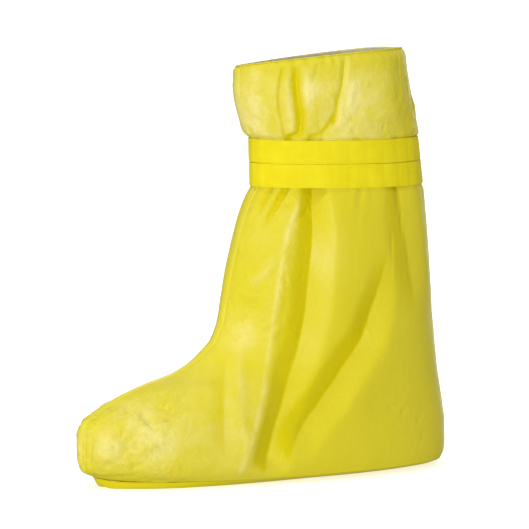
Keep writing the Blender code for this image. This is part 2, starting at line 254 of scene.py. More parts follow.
def curve_through(points, count):
    """Points of a smooth curve through a few given ones, evenly spread."""
    gaps = np.linalg.norm(np.diff(points, axis=0), axis=1)
    knots = np.concatenate([[0.0], np.cumsum(gaps)])
    slopes = np.gradient(points, knots, axis=0)
    where = np.linspace(0, knots[-1], count)
    low = np.clip(np.searchsorted(knots, where, side="right") - 1, 0, len(gaps) - 1)
    span = gaps[low][:, None]
    t = ((where - knots[low]) / gaps[low])[:, None]
    value = points[low] + (points[low + 1] - points[low]) * smooth(t)
    return value + span * (slopes[low] * t * (1 - t) ** 2 - slopes[low + 1] * t * t * (1 - t))


def unit(vectors):
    """The same directions, one long."""
    return vectors / np.linalg.norm(vectors, axis=1, keepdims=True)


def one_fold(points, normals, side, row, toe_wall_only=False):
    """A trough or ridge along one line: a soft tent across it, faded at its ends."""
    depth, toe_side, heel_side, crest, widen, fade_in, fade_out, path = row
    stations, turns = np.array(path, float).T
    angles = np.radians(turns)
    if side < 0:
        depth, angles = depth * RIGHT_DEPTH, -angles - math.radians(RIGHT_TURN)
    line = curve_through(bare_shell(stations, angles), FOLD_STEPS)
    out = unit(curve_through(shell_normals(stations, angles), FOLD_STEPS))
    step = np.linalg.norm(np.diff(line, axis=0), axis=1).mean()
    tangents = unit(np.gradient(line, axis=0))
    sideways = unit(np.cross(out, tangents) * side)
    reach = FOLD_REACH * max(toe_side, heel_side) * max(1.0, widen)
    inside = (points > line.min(axis=0) - reach) & (points < line.max(axis=0) + reach)
    near = np.flatnonzero(inside.all(axis=1))
    close = points[near]
    away = (close**2).sum(axis=1)[:, None] - 2 * close @ line.T + (line**2).sum(axis=1)[None, :]
    closest = away.argmin(axis=1)
    gap = close - line[closest]
    across = (gap * sideways[closest]).sum(axis=1)
    share = (closest + (gap * tangents[closest]).sum(axis=1) / step) / (FOLD_STEPS - 1)
    width = np.where(across < 0, toe_side, heel_side) * (1 + (widen - 1) * smooth(share / FULL_WIDTH_BY))
    wall = 1 - (np.sqrt(across**2 + crest**2) - crest) / width
    tent = (wall + np.sqrt(wall**2 + WALL_FOOT**2)) / 2
    fade = smooth(share / fade_in) * smooth((1 - share) / fade_out)
    if toe_wall_only:
        fade = fade * smooth(0.5 - across / CREST_BLEND)
    facing = smooth(((normals[near] * out[closest]).sum(axis=1) - FACING_FROM) / FACING_BLEND)
    rise = np.zeros(len(points))
    rise[near] = depth * tent * fade * facing
    return rise


# %% All folds together, dying out at the sole's edge
EDGE_FADE = 0.6


def fold_rise(stations, points, normals):
    """How far the folds move each point outward, in millimetres."""
    flat_points, flat_normals = points.reshape(-1, 3), normals.reshape(-1, 3)
    total = np.zeros(len(flat_points))
    for side in (1, -1):
        for row in [*MAIN_FOLDS.values(), *SMALL_FOLDS.values()]:
            total += one_fold(flat_points, flat_normals, side, row)
    return total.reshape(stations.shape) * smooth(stations / EDGE_FADE)


print("folds on both sides:", 2 * (len(MAIN_FOLDS) + len(SMALL_FOLDS)))

# %% [markdown]
# ## Gathers and crumple
#
# Two finer things are left. Elastic and tie pull the fabric into small pleats that die out within a few
# centimetres, and the whole film is slightly crumpled from having been folded flat in a packet. Pleats repeat
# round the leg, so they come from waves whose spacing drifts; the crumple comes from noise at a real size.

# %% Gathers at the rim and the tie
RIM_PLEATS = 47
RIM_PLEAT_DEPTH = 2.6
RIM_FADE = 0.36
RIM_EVEN_PULL = 0.08
# where the elastic bunches the rim: middle and spread in degrees, and how strongly
RIM_CLUSTERS = ((60.0, 22.0, 1.0), (-68.0, 22.0, 0.9), (150.0, 25.0, 0.5), (-150.0, 25.0, 0.5))
TIE_PLEATS = 31
TIE_PLEAT_DEPTH = 1.1
FADE_BELOW_TIE = 0.8
FADE_ABOVE_TIE = 0.7


def wave(angles):
    """A wave between 0 and 1."""
    return 0.5 + 0.5 * np.sin(angles)


def degrees_from(angles, middle):
    """How many degrees each angle lies from a middle one, the shorter way round."""
    return np.degrees(np.angle(np.exp(1j * (angles - math.radians(middle)))))


def gathers(stations, angles):
    """Small pleats, in millimetres inward, that hang from the elastic and fan out from the tie."""
    drift = 0.8 * np.sin(3 * angles + 0.4) + 0.5 * np.sin(7 * angles + 1.9)
    rim_wave = wave(RIM_PLEATS * angles + 3.0 * drift) * (0.6 + 0.4 * np.sin(19 * angles + 0.8))
    rim_strength = np.full_like(angles, RIM_EVEN_PULL)
    for turn, spread, strength in RIM_CLUSTERS:
        rim_strength = rim_strength + strength * np.exp(-((degrees_from(angles, turn) / spread) ** 2))
    rim = rim_wave * rim_strength * np.exp(-(TOP - stations) / RIM_FADE)
    tie_wave = wave(TIE_PLEATS * angles + 2.6 * drift + 0.7) * wave(12 * angles + 2.2) ** 1.5
    below = np.exp(-np.abs(stations - UNDER_TIE) / FADE_BELOW_TIE)
    above = np.exp(-np.abs(stations - UNDER_TIE - 1) / FADE_ABOVE_TIE)
    return -RIM_PLEAT_DEPTH * rim - TIE_PLEAT_DEPTH * tie_wave * np.maximum(below, above)


print("pleats round the rim:", RIM_PLEATS, "- round the tie:", TIE_PLEATS)

# %% The crumple of the film
CRUMPLE_SIZE = 24.0
CRUMPLE_HEIGHT = 0.55
CRUMPLE_LEAST = 0.45
MORE_ON_TOE = 0.75
MORE_ON_COLLAR = 0.35
TOE_FROM = 60.0
TOE_BLEND = 60.0


def crumple(points, stations):
    """The film's own unevenness, strongest on the toe and weakest where the leg is pulled straight."""
    flat = points.reshape(-1, 3) / CRUMPLE_SIZE
    value = np.array([noise.noise(Vector(p)) + 0.5 * abs(noise.noise(Vector(p * 2.3))) for p in flat])
    toe = smooth((points[..., 0] - TOE_FROM) / TOE_BLEND)
    collar = smooth((stations - UNDER_TIE - 1) / 0.6)
    tied = 1 - smooth((np.abs(stations - UNDER_TIE - 0.5) - 0.5) / 0.3)
    strength = CRUMPLE_LEAST + MORE_ON_TOE * toe + MORE_ON_COLLAR * collar
    strength = strength * (1 - tied) * smooth(stations / 0.8)
    return CRUMPLE_HEIGHT * value.reshape(stations.shape) * strength


print("crumple:", CRUMPLE_HEIGHT, "mm high at", CRUMPLE_SIZE, "mm")

# %% Short creases, scattered with a fixed seed
CREASE_SEED = 11
# how many, between which stations, within how many degrees of a middle turn, how far up and round, how deep
CREASES = {
    "toe": (130, 1.2, 6.0, 0.0, 50.0, 0.9, 9.0, 1.9),
    "foot": (60, 1.4, 9.0, 0.0, 180.0, 1.6, 8.0, 0.7),
    "leg": (90, 11.5, 14.8, 0.0, 180.0, 0.9, 4.0, 0.9),
    "shin": (70, 11.2, 14.6, 34.0, 26.0, 0.5, 12.0, 1.4),
    "far_shin": (40, 11.2, 14.6, -30.0, 34.0, 0.5, 12.0, 1.0),
    "collar": (110, 16.8, 18.7, 0.0, 180.0, 0.7, 7.0, 1.2),
}
CREASE_DEPTH = (-0.85, 0.55)
CREASE_WIDTH = (1.6, 4.5)
CREASE_CREST = 0.4
CREASE_FADE = 0.35
CREASE_LIMITS = (0.7, TOP - 0.05)


def fine_creases(points, normals):
    """Short crisp creases left by packing and handling, scattered over each region."""
    draw = np.random.default_rng(CREASE_SEED)
    total = np.zeros(len(points))
    for count, low, high, turn, spread, rows_long, turns_long, deeper in CREASES.values():
        for _ in range(count):
            place, middle = draw.uniform(low, high), turn + draw.uniform(-spread, spread)
            up, round_it = draw.uniform(-0.5, 0.5) * rows_long, draw.uniform(-0.5, 0.5) * turns_long
            kink = draw.uniform(-0.15, 0.15, 2) * (rows_long, turns_long)
            bends = ((up, round_it), kink, (-up, -round_it))
            path = [(np.clip(place + rows, *CREASE_LIMITS), middle + turns) for rows, turns in bends]
            widths = draw.uniform(*CREASE_WIDTH, 2)
            depth = deeper * draw.uniform(*CREASE_DEPTH)
            row = (depth, *widths, CREASE_CREST, 1.0, CREASE_FADE, CREASE_FADE, path)
            total += one_fold(points, normals, 1, row)
    return total


print("short creases:", sum(row[0] for row in CREASES.values()))

# %% The shell with all of these
HEM_TUCK = 2.4
HEM_START = 18.82
TIE_PINCH = 1.2
PINCH_REACH = 0.58
PINCH_BLEND = 0.12
FAR_RIM_DROP = 7.5
FAR_RIM_ROWS = 1.2


def on_shell(stations, angles, offset=0.0, fine=True):
    """Points of the folded shell, moved outward by offset in millimetres."""
    stations, angles = np.broadcast_arrays(np.asarray(stations, float), np.asarray(angles, float))
    points, normals = bare_shell(stations, angles), shell_normals(stations, angles)
    rise = fold_rise(stations, points, normals) + gathers(stations, angles) + offset
    rise = rise - HEM_TUCK * np.clip((stations - HEM_START) / (TOP - HEM_START), 0, 1) ** 2
    rise = rise - TIE_PINCH * smooth((PINCH_REACH - np.abs(stations - UNDER_TIE - 0.5)) / PINCH_BLEND)
    if fine:
        rise = rise + crumple(points, stations)
        creases = fine_creases(points.reshape(-1, 3), normals.reshape(-1, 3))
        rise = rise + creases.reshape(stations.shape)
    points = points + normals * rise[..., None]
    near_rim = smooth((stations - TOP + FAR_RIM_ROWS) / FAR_RIM_ROWS)
    points[..., 2] -= FAR_RIM_DROP * (1 - np.sin(angles)) / 2 * near_rim
    return points


print("left side of the rim:", on_shell(TOP, math.pi / 2, fine=False).round(1), "mm")

# %% [markdown]
# ## From a grid of points to a mesh
#
# Every piece here is a grid that goes round or along something. One helper turns such a grid into a mesh of
# quads, closes it where the piece goes all the way round, caps its ends and stores how far each corner lies
# along and across the piece as a UV map in metres, so a weave can follow the cloth.

# %% The helper for all meshes
TO_METRES = 0.001


def link_object(name, data):
    """An object of the scene for a mesh, a light or a camera."""
    made = bpy.data.objects.new(name, data)
    bpy.context.scene.collection.objects.link(made)
    return made


def grid_piece(name, grid, close_columns=False, close_rows=False, cap_ends=False, more_faces=()):
    """An object from a grid of points in millimetres: rows, columns and three coordinates."""
    rows, columns = grid.shape[:2]
    number = np.arange(rows * columns).reshape(rows, columns)
    number = np.concatenate([number, number[:, :1]], axis=1) if close_columns else number
    number = np.concatenate([number, number[:1]], axis=0) if close_rows else number
    quads = np.stack([number[:-1, :-1], number[:-1, 1:], number[1:, 1:], number[1:, :-1]], axis=-1)
    faces = quads.reshape(-1, 4).tolist()
    if cap_ends:
        faces += [number[0, :columns][::-1].tolist(), number[-1, :columns].tolist()]
    faces += list(more_faces)
    mesh = bpy.data.meshes.new(name)
    mesh.from_pydata((grid.reshape(-1, 3) * TO_METRES).tolist(), [], faces)
    points = grid.reshape(-1, 3)[number] * TO_METRES
    across = np.linalg.norm(np.diff(points, axis=1, prepend=points[:, :1]), axis=-1).cumsum(axis=1)
    along = np.linalg.norm(np.diff(points, axis=0, prepend=points[:1]), axis=-1).cumsum(axis=0)
    flat = np.stack([across, along], axis=-1)
    corners = np.stack([flat[:-1, :-1], flat[:-1, 1:], flat[1:, 1:], flat[1:, :-1]], axis=2).reshape(-1, 2)
    layer = mesh.uv_layers.new(name="along_the_cloth")
    values = np.zeros((len(mesh.loops), 2))
    values[: len(corners)] = corners
    layer.data.foreach_set("uv", values.astype(np.float32).ravel())
    mesh.shade_smooth()
    print(name, "has", sum(len(face.vertices) - 2 for face in mesh.polygons), "triangles")
    return link_object(name, mesh)


def set_attribute(piece, name, values):
    """A number for each point of a piece, which its material can read."""
    layer = piece.data.attributes.new(name, "FLOAT", "POINT")
    layer.data.foreach_set("value", np.asarray(values, np.float32).ravel())


# %% [markdown]
# ## The upper
#
# The upper is cut as two mirrored panels that meet over the toe and up the back. Each one is a closed wall:
# up the outside, over a rolled edge at the collar and down the inside, where the white nonwoven shows that
# the film is laminated to. Solidify could give the thickness, but then both faces would share one fine grid;
# laying the inside as its own coarser rows leaves more triangles for the creases that show.

# %% The lines of a panel: hem, outside, rolled edge and inside
OUTER_ROWS = 298
INNER_LOW_ROWS = 30
INNER_HIGH_ROWS = 46
PANEL_COLUMNS = 260
COLUMN_CROWDING = 0.17
STATION_STEPS = 1500
MEASURED_AT = np.radians([0.0, 70.0, 120.0])
HEM_DROP = 0.5
HEM_TURN = 0.45
# the rolled edge, as steps outward and upward from the rim in millimetres
ROLL = ((0.35, 0.25), (0.45, 0.75), (0.0, 1.15), (-0.7, 1.15), (-1.15, 0.7))
# how far inside the film the lining lies, and how much further in it keeps clear of the leg's creases
LINING_GAP = 1.2
LINING_ROOM = 3.0


def even_stations(count, low=0.0, high=TOP):
    """Places up the shell that lie about as far apart in millimetres."""
    fine = np.linspace(low, high, STATION_STEPS)
    lines = bare_shell(fine[:, None], MEASURED_AT[None, :])
    steps = np.linalg.norm(np.diff(lines, axis=0), axis=-1).mean(axis=1)
    walked = np.concatenate([[0.0], np.cumsum(steps)])
    return np.interp(np.linspace(0, walked[-1], count), walked, fine)


def half_angles(count):
    """Angles from the front seam to the back one, closer together on the long side."""
    even = np.linspace(0, math.pi, count)
    return even + COLUMN_CROWDING * np.sin(2 * even)


def sole_edge(angles, inset):
    """The line where upper and sole meet, moved inward by some millimetres."""
    out = shell_normals(np.full_like(angles, 0.5), angles)[..., :2]
    out = out / np.linalg.norm(out, axis=-1, keepdims=True)
    edge = bare_shell(0.0, angles)
    return np.concatenate([edge[..., :2] - out * inset, edge[..., 2:]], axis=-1)


def panel_lines(stations, angles):
    """The points of a panel's wall, line by line, and the station of each line."""
    outer = on_shell(stations, angles)
    hem = sole_edge(angles, HEM_TURN) - np.array([0.0, 0.0, HEM_DROP])
    rim_normals = shell_normals(np.full_like(angles, TOP), angles)[0]
    roll = [outer[-1] + rim_normals * out + np.array([0.0, 0.0, up]) for out, up in ROLL]
    low = even_stations(INNER_LOW_ROWS, 0.0, UNDER_TIE + 0.5)
    high = even_stations(INNER_HIGH_ROWS, UNDER_TIE + 0.6, TOP)
    inside = np.concatenate([low, high])[::-1][:, None]
    room = LINING_ROOM * smooth((UNDER_TIE + 1.4 - inside) / 1.5) * smooth(inside / 1.5)
    inner = on_shell(inside, angles, -(LINING_GAP + room), fine=False)
    heights = np.concatenate([[-0.1], stations[:, 0], np.full(len(ROLL), TOP), inside[:, 0]])
    return np.concatenate([hem, outer, np.array(roll), inner], axis=0), heights


print("rows of a panel:", OUTER_ROWS, "outside,", INNER_LOW_ROWS + INNER_HIGH_ROWS, "inside")

# %% Faces that close a panel along its seams
def zip_edges(outside, inside):
    """Triangles that close the gap between two lines of (corner, height), which may have different counts."""
    faces, i, j = [], 0, 0
    while i < len(outside) - 1 or j < len(inside) - 1:
        if j == len(inside) - 1 or (i < len(outside) - 1 and outside[i + 1][1] <= inside[j + 1][1]):
            faces.append((outside[i][0], outside[i + 1][0], inside[j][0]))
            i += 1
        else:
            faces.append((outside[i][0], inside[j + 1][0], inside[j][0]))
            j += 1
    return [face for face in faces if len(set(face)) == 3]


def seam_faces(corners, heights):
    """Triangles between the outside and the inside of a panel's wall, along one of its seams."""
    top = OUTER_ROWS + 1 + len(ROLL) // 2
    line = list(zip(corners.tolist(), heights))
    return zip_edges(line[: top + 1], line[top:][::-1])


# %% [markdown]
# ## Painted highlights and painted shade on the film
#
# On the toe, the collar and along the sharp ridges the film's colour is made paler: a painted highlight
# for the satin sheen seen there. In the valleys, the wall that faces the heel is painted a deeper yellow:
# painted shade for the yellow light that passes from film to film. A texture painted by hand would do;
# here the spots and lines are written down in the shoe's own sizes and stored as a number on every point.

# %% Painted highlight spots and lines, and painted shade on the walls
# painted highlight: spots where the film's colour is made paler for its satin sheen
# stations up, degrees round, radius in millimetres and strength
PAINTED_HIGHLIGHT_SPOTS = (
    (3.0, 24.0, 15.0, 0.85), (3.2, 44.0, 18.0, 1.0), (5.4, 32.0, 17.0, 0.6), (4.5, 66.0, 45.0, 0.34),
    (17.65, 22.0, 26.0, 0.75), (18.0, 66.0, 13.0, 0.7), (17.85, 95.0, 26.0, 0.7), (17.15, 74.0, 15.0, 0.75),
    (16.8, 24.0, 20.0, 0.4), (16.8, 52.0, 12.0, 0.35), (16.9, 102.0, 20.0, 0.4),
    (13.6, 30.0, 24.0, 0.12), (11.9, 26.0, 15.0, 0.5), (2.8, 4.0, 13.0, 0.3), (13.2, 66.0, 20.0, 0.35),
)
# painted highlight along the crests of some folds
# a fold, how far the tint reaches on its toe side and its heel side, and strength
PAINTED_HIGHLIGHT_LINES = (
    ("leg_ridge", 2.6, 2.6, 0.5), ("instep_ridge", 3.0, 3.0, 0.4), ("leg_diagonal", 5.0, 5.0, 0.35),
    ("collar_tongue", 4.0, 4.0, 0.4), ("collar_ridge", 5.0, 5.0, 0.3), ("collar_glint", 6.0, 6.0, 0.4),
    ("collar_front", 7.0, 7.0, 0.35),
)
# painted shade: stripes of deeper yellow along two collar folds
PAINTED_SHADE_LINES = (("collar_valley", 4.0, 8.0, 1.8), ("collar_bend", 3.0, 6.0, 1.0))
WALL_SHADE = 1.8


def tint_along(points, normals, side, lines):
    """Soft stripes along the paths of some folds, for painted highlights and painted shade."""
    folds = {**MAIN_FOLDS, **SMALL_FOLDS}
    total = np.zeros(len(points))
    for name, toe_side, heel_side, strength in lines:
        row = (strength, toe_side, heel_side, 1.0, 1.0, *folds[name][5:])
        total += one_fold(points, normals, side, row)
    return total


def painted_highlight(points, normals):
    """How much painted highlight the film gets at each point, from 0 to 1."""
    flat, flat_normals = points.reshape(-1, 3), normals.reshape(-1, 3)
    total = np.zeros(len(flat))
    for side in (1, -1):
        for place, turn, size, strength in PAINTED_HIGHLIGHT_SPOTS:
            angle = math.radians(turn) if side > 0 else -math.radians(turn + RIGHT_TURN)
            away = np.linalg.norm(flat - bare_shell(place, angle), axis=1)
            total += strength * np.exp(-((away / size) ** 2))
        total += tint_along(flat, flat_normals, side, PAINTED_HIGHLIGHT_LINES)
    return np.clip(total, 0, 1).reshape(points.shape[:2])


def shaded_walls(points, normals):
    """Painted shade at each point, from 0 to 1: down the heel-facing walls of main valleys and along a few
    lines.
    """
    flat, flat_normals = points.reshape(-1, 3), normals.reshape(-1, 3)
    total = np.zeros(len(flat))
    for side in (1, -1):
        for row in MAIN_FOLDS.values():
            if row[0] < 0:
                total -= one_fold(flat, flat_normals, side, row, toe_wall_only=True)
        total += tint_along(flat, flat_normals, side, PAINTED_SHADE_LINES)
    return np.clip(total / WALL_SHADE, 0, 1).reshape(points.shape[:2])


print("pale spots:", len(PAINTED_HIGHLIGHT_SPOTS), "- pale lines:", len(PAINTED_HIGHLIGHT_LINES), "- deep lines:", len(PAINTED_SHADE_LINES))

# %% The two panels, with these numbers on their outside
LOOSE_LEAST = 0.3
LOOSER_SHIN = 0.5
LOOSER_TOE = 0.7
LOOSER_COLLAR = 0.5
# the shin starts at a station and lies within some degrees of the front seam; the loose toe starts at an x
SHIN_FROM = 10.0
SHIN_WITHIN = 75.0
LOOSE_TOE_FROM = 70.0


def mark_film(piece, stations, angles):
    """Stores painted shade, painted highlight and how loose the film is; the inside keeps plain values."""
    points, normals = bare_shell(stations, angles), shell_normals(stations, angles)
    deep = shaded_walls(points, normals)
    in_front = smooth((SHIN_WITHIN - np.abs(degrees_from(angles, 0.0))) / 30.0)
    shin = smooth((stations - SHIN_FROM) / 2.0) * in_front
    toe = smooth((points[..., 0] - LOOSE_TOE_FROM) / 50.0)
    collar = smooth((stations - UNDER_TIE) / 1.5)
    looser = np.maximum(np.maximum(LOOSER_SHIN * shin, LOOSER_TOE * toe), LOOSER_COLLAR * collar)
    for name, outside, inside in (
        ("painted_shade_share", deep, 0.0),
        ("painted_highlight", painted_highlight(points, normals) * (1 - deep), 0.0),
        ("loose_film", LOOSE_LEAST + looser, LOOSE_LEAST),
    ):
        values = np.full(len(piece.data.vertices), inside).reshape(-1, PANEL_COLUMNS)
        values[1 : OUTER_ROWS + 1] = outside
        set_attribute(piece, name, values)


def make_panel(name, turned):
    """One half of the upper; the right one is turned by half a circle."""
    angles = half_angles(PANEL_COLUMNS)[None, :] + turned
    stations = even_stations(OUTER_ROWS)[:, None]
    grid, heights = panel_lines(stations, angles)
    corner = np.arange(len(grid) * PANEL_COLUMNS).reshape(-1, PANEL_COLUMNS)
    front = seam_faces(corner[:, 0], heights)
    back = [face[::-1] for face in seam_faces(corner[:, -1], heights)]
    piece = grid_piece(name, grid, close_rows=True, more_faces=front + back)
    faces_per_row = PANEL_COLUMNS - 1
    is_lining = np.zeros(len(piece.data.polygons), np.int32)
    is_lining[(OUTER_ROWS + len(ROLL)) * faces_per_row : len(grid) * faces_per_row] = 1
    piece.data.polygons.foreach_set("material_index", is_lining)
    mark_film(piece, stations, angles)
    return piece


left_panel = make_panel("upper_left_panel", 0.0)
right_panel = make_panel("upper_right_panel", math.pi)

# %% [markdown]
# ## The sole
#
# The sole is a flat panel of the same fabric. It lies on the floor, bends up along its edge to meet the upper
# and has a shallow groove along the middle where its own seam is taped. The height is a short formula of the
# distance to the edge, so the panel is a grid of rows across the foot; Solidify gives it the fabric's
# thickness.

# %% The height of the sole's underside
SOLE_THICKNESS = 0.9
# how far in from the edge the sole starts to bend up, by the share of the way from heel to toe
SOLE_BENDS = ((0.0, 18.0), (0.12, 26.0), (0.45, 26.0), (0.65, 13.0), (0.82, 4.0), (0.97, 2.5), (1.0, 6.0))
SOLE_INSET = 0.5
EDGE_STEPS = 900
GROOVE_DEPTH = 0.9
GROOVE_HALF_WIDTH = 6.5
GROOVE_FADE = 4.5


def sole_height(x, y):
    """The underside of the sole: flat, bent up along its edge, grooved in the middle."""
    edge_angles = np.linspace(0, 2 * math.pi, EDGE_STEPS, endpoint=False)
    edge = sole_edge(edge_angles, SOLE_INSET)
    towards_toe = (1 + np.cos(edge_angles)) / 2
    bend = np.interp(towards_toe, *zip(*SOLE_BENDS))
    slope = 2 * edge[:, 2] / bend
    rim = edge[:, 2] - SOLE_THICKNESS / np.sqrt(1 + slope**2)
    away = np.hypot(x[..., None] - edge[:, 0], y[..., None] - edge[:, 1])
    nearest = away.argmin(axis=-1)
    inward = np.clip(1 - away.min(axis=-1) / bend[nearest], 0, 1)
    groove = GROOVE_DEPTH * (1 - smooth((np.abs(y) - GROOVE_HALF_WIDTH) / GROOVE_FADE))
    return rim[nearest] * inward**2 + groove * (1 - inward)


print("groove under the middle of the foot:", sole_height(np.zeros(1), np.zeros(1)).round(2), "mm deep")

# %% The sole panel
SOLE_ROWS = 150
SOLE_COLUMNS = 61
SOLE_END = 0.02
# the whole sole gets this share of the film's painted shade, as it lies in shade
SOLE_PAINTED_SHADE = 0.8


def make_sole():
    """Rows across the foot from toe to heel, thickened upward."""
    edge = sole_edge(np.linspace(SOLE_END, math.pi - SOLE_END, SOLE_ROWS), SOLE_INSET)
    y = edge[:, 1][:, None] * np.sin(np.linspace(math.pi / 2, -math.pi / 2, SOLE_COLUMNS))[None, :]
    x = np.broadcast_to(edge[:, 0][:, None], y.shape)
    piece = grid_piece("sole_fabric", np.stack([x, y, sole_height(x, y)], axis=-1))
    wall = piece.modifiers.new("fabric thickness", "SOLIDIFY")
    wall.thickness = SOLE_THICKNESS * TO_METRES
    wall.offset = -1.0
    # painted shade over the whole sole
    set_attribute(piece, "painted_shade_share", np.full(SOLE_ROWS * SOLE_COLUMNS, SOLE_PAINTED_SHADE))
    return piece


sole = make_sole()
print("sole: lowest point", round(min(v.co.z for v in sole.data.vertices) * 1000, 3), "mm over the floor")

# %% [markdown]
# ## Seam tapes
#
# The seams over the toe and shin, up the back and under the sole are sealed with a thin film tape of the same
# yellow. It is only a hair proud of the fabric, so its edges are thinned to nothing: the strip's section is a
# closed loop whose two edges dip into the cloth, swept along the seam on the same shell function.

# %% Tapes along the three seams
TAPE_WIDTH = 10.0
TAPE_RISE = 0.22
TAPE_SECTION = np.array([(-1.0, -0.25), (-0.93, 0.55), (-0.6, 1.0), (-0.2, 0.9), (0.2, 0.9), (0.6, 1.0),
                         (0.93, 0.55), (1.0, -0.25), (0.0, -0.9)])
TAPE_ENDS = (0.25, TOP - 0.06)
FRONT_TAPE_ROWS = 300
BACK_TAPE_ROWS = 240
SOLE_TAPE_ENDS = (6.0, 9.0)
SOLE_TAPE_ROWS = 120
SOLE_TAPE_DROP = 0.75


def make_seam_tape(name, seam_angle, count):
    """A tape along the front or back seam, from the sole's edge to just under the rim."""
    spread = np.linspace(0, 0.5, 200)
    places = even_stations(count, *TAPE_ENDS)
    sides = [np.abs(bare_shell(place, seam_angle + spread)[:, 1]) for place in places]
    reach = np.array([np.interp(TAPE_WIDTH / 2, side, spread) for side in sides])[:, None]
    across, rise = TAPE_SECTION.T[:, None, :]
    angles = seam_angle + across * reach
    stations = np.broadcast_to(places[:, None], angles.shape)
    grid = on_shell(stations, angles, np.broadcast_to(rise * TAPE_RISE, angles.shape))
    piece = grid_piece(name, grid, close_columns=True, cap_ends=True)
    # the tape gets the painted highlight of the fabric beside it
    highlight_share = painted_highlight(bare_shell(stations, angles), shell_normals(stations, angles))
    set_attribute(piece, "painted_highlight", highlight_share)
    return piece


def make_sole_tape():
    """The tape in the groove along the middle of the sole, seen from below."""
    toe, heel = bare_shell(0.0, np.array([0.0, math.pi]))[:, 0]
    x = np.linspace(toe - SOLE_TAPE_ENDS[0], heel + SOLE_TAPE_ENDS[1], SOLE_TAPE_ROWS)[:, None]
    across, drop = TAPE_SECTION[::-1].T[:, None, :]
    x, across, drop = np.broadcast_arrays(x, across * TAPE_WIDTH / 2, drop * 2 * TAPE_RISE)
    z = sole_height(x, np.zeros_like(across)) - np.minimum(drop, SOLE_TAPE_DROP)
    return grid_piece("sole_tape", np.stack([x, across, z], axis=-1), close_columns=True, cap_ends=True)


front_tape = make_seam_tape("front_tape", 0.0, FRONT_TAPE_ROWS)
back_tape = make_seam_tape("back_tape", math.pi, BACK_TAPE_ROWS)
sole_tape = make_sole_tape()

# %% [markdown]
# ## The tie
#
# The tie is one flat strip wound twice round the leg, so it shows as two bands with a thin dark line between
# them. It climbs from the lower band to the upper one on the far side. A curve with a bevel would twist;
# laying the strip's section on the shell keeps it flat against the leg, and a wave makes it a little uneven.

# %% The strip, wound in two turns
TIE_START = -18.0
TIE_END = 606.0
TIE_STEP = 1.5
TIE_CLIMB = (250.0, 330.0)
TIE_LEVELS = (0.281, 0.743)
TIE_HALF_HEIGHT = 0.2275
TIE_THICKNESS = 0.7
TIE_STAND_OFF = 0.25
TIE_OVER_TAPE = 0.3
TIE_SECTION = np.array([(-1.0, 0.35), (-0.995, 0.85), (-0.97, 1.0), (-0.5, 1.0), (0.0, 1.05), (0.5, 1.0),
                        (0.97, 1.0), (0.995, 0.85), (1.0, 0.35), (0.95, 0.1), (0.0, 0.1), (-0.95, 0.1)])


def make_tie(turns):
    """The strip's section, laid on the pinched leg at each of the given degrees."""
    round_leg = np.radians(turns)
    climb = smooth((turns - TIE_CLIMB[0]) / (TIE_CLIMB[1] - TIE_CLIMB[0]))
    level = TIE_LEVELS[0] + (TIE_LEVELS[1] - TIE_LEVELS[0]) * climb
    level += 0.004 * np.sin(round_leg * 2.3) + 0.003 * np.sin(round_leg * 5.1 + 1.0)
    up, out = TIE_SECTION.T[:, None, :]
    out = out * TIE_THICKNESS
    stations = UNDER_TIE + level[:, None] + up * TIE_HALF_HEIGHT
    angles = np.broadcast_to(round_leg[:, None], stations.shape)
    points, normals = bare_shell(stations, angles), shell_normals(stations, angles)
    over_tape = (TAPE_RISE + TIE_OVER_TAPE) * (1 - smooth((np.abs(points[..., 1]) - 7.0) / 9.0))
    pull = 0.20 * np.sin(11 * angles + 0.6) + 0.16 * np.sin(29 * angles + 2.0) + 0.08 * np.sin(61 * angles)
    rise = out + over_tape + TIE_STAND_OFF - TIE_PINCH + pull * (out > 0.3)
    grid = points + normals * rise[..., None]
    return grid_piece("tie_strip", grid[:, ::-1], close_columns=True, cap_ends=True)


tie_turns = np.arange(TIE_START, TIE_END + 0.1, TIE_STEP)
tie = make_tie(tie_turns)
tie_line = bare_shell(np.full(len(tie_turns), UNDER_TIE + 0.5), np.radians(tie_turns))
tie_length = np.linalg.norm(np.diff(tie_line, axis=0), axis=1).sum() * TO_METRES
print("tie:", round(tie_length, 3), "m long")

# %% [markdown]
# ## The collar's elastic
#
# Inside the collar a soft, pale elastic is sewn flat against the lining. It shows as a thin sliver behind the
# far edge of the opening. The band is a closed ring with rounded edges, laid on the inside of the shell.

# %% The elastic band
ELASTIC_STATIONS = (18.34, 18.93)
ELASTIC_THICKNESS = 0.8
ELASTIC_GAP = 1.5
ELASTIC_COLUMNS = 181
ELASTIC_STEPS = np.linspace(0.03, 0.97, 9)
ELASTIC_SECTION = np.array([(0.0, 0.3), (0.0, 0.7), *((share, 1.0) for share in ELASTIC_STEPS), (1.0, 0.7),
                            (1.0, 0.3), *((share, 0.0) for share in ELASTIC_STEPS[::-1])])


def make_elastic():
    """The band's section, laid all round the inside of the collar."""
    half_way = half_angles(ELASTIC_COLUMNS)[:-1]
    angles = np.concatenate([half_way, half_way + math.pi])[:, None]
    share, depth = ELASTIC_SECTION.T[:, None, :]
    stations = ELASTIC_STATIONS[0] + (ELASTIC_STATIONS[1] - ELASTIC_STATIONS[0]) * share
    grid = on_shell(stations, angles, -ELASTIC_GAP - ELASTIC_THICKNESS * depth, fine=False)
    return grid_piece("elastic_band", grid, close_columns=True, close_rows=True)


elastic = make_elastic()

# %% [markdown]
# ## Helpers for the finishes
#
# Colours are written as the hex values that a picture editor shows, and one function turns them into the
# linear numbers that a shader works with. Another one adds a node, sets it up and links it, so that a whole
# material reads as a short list. Each finish is a function that lays out its nodes and gives back the shader.

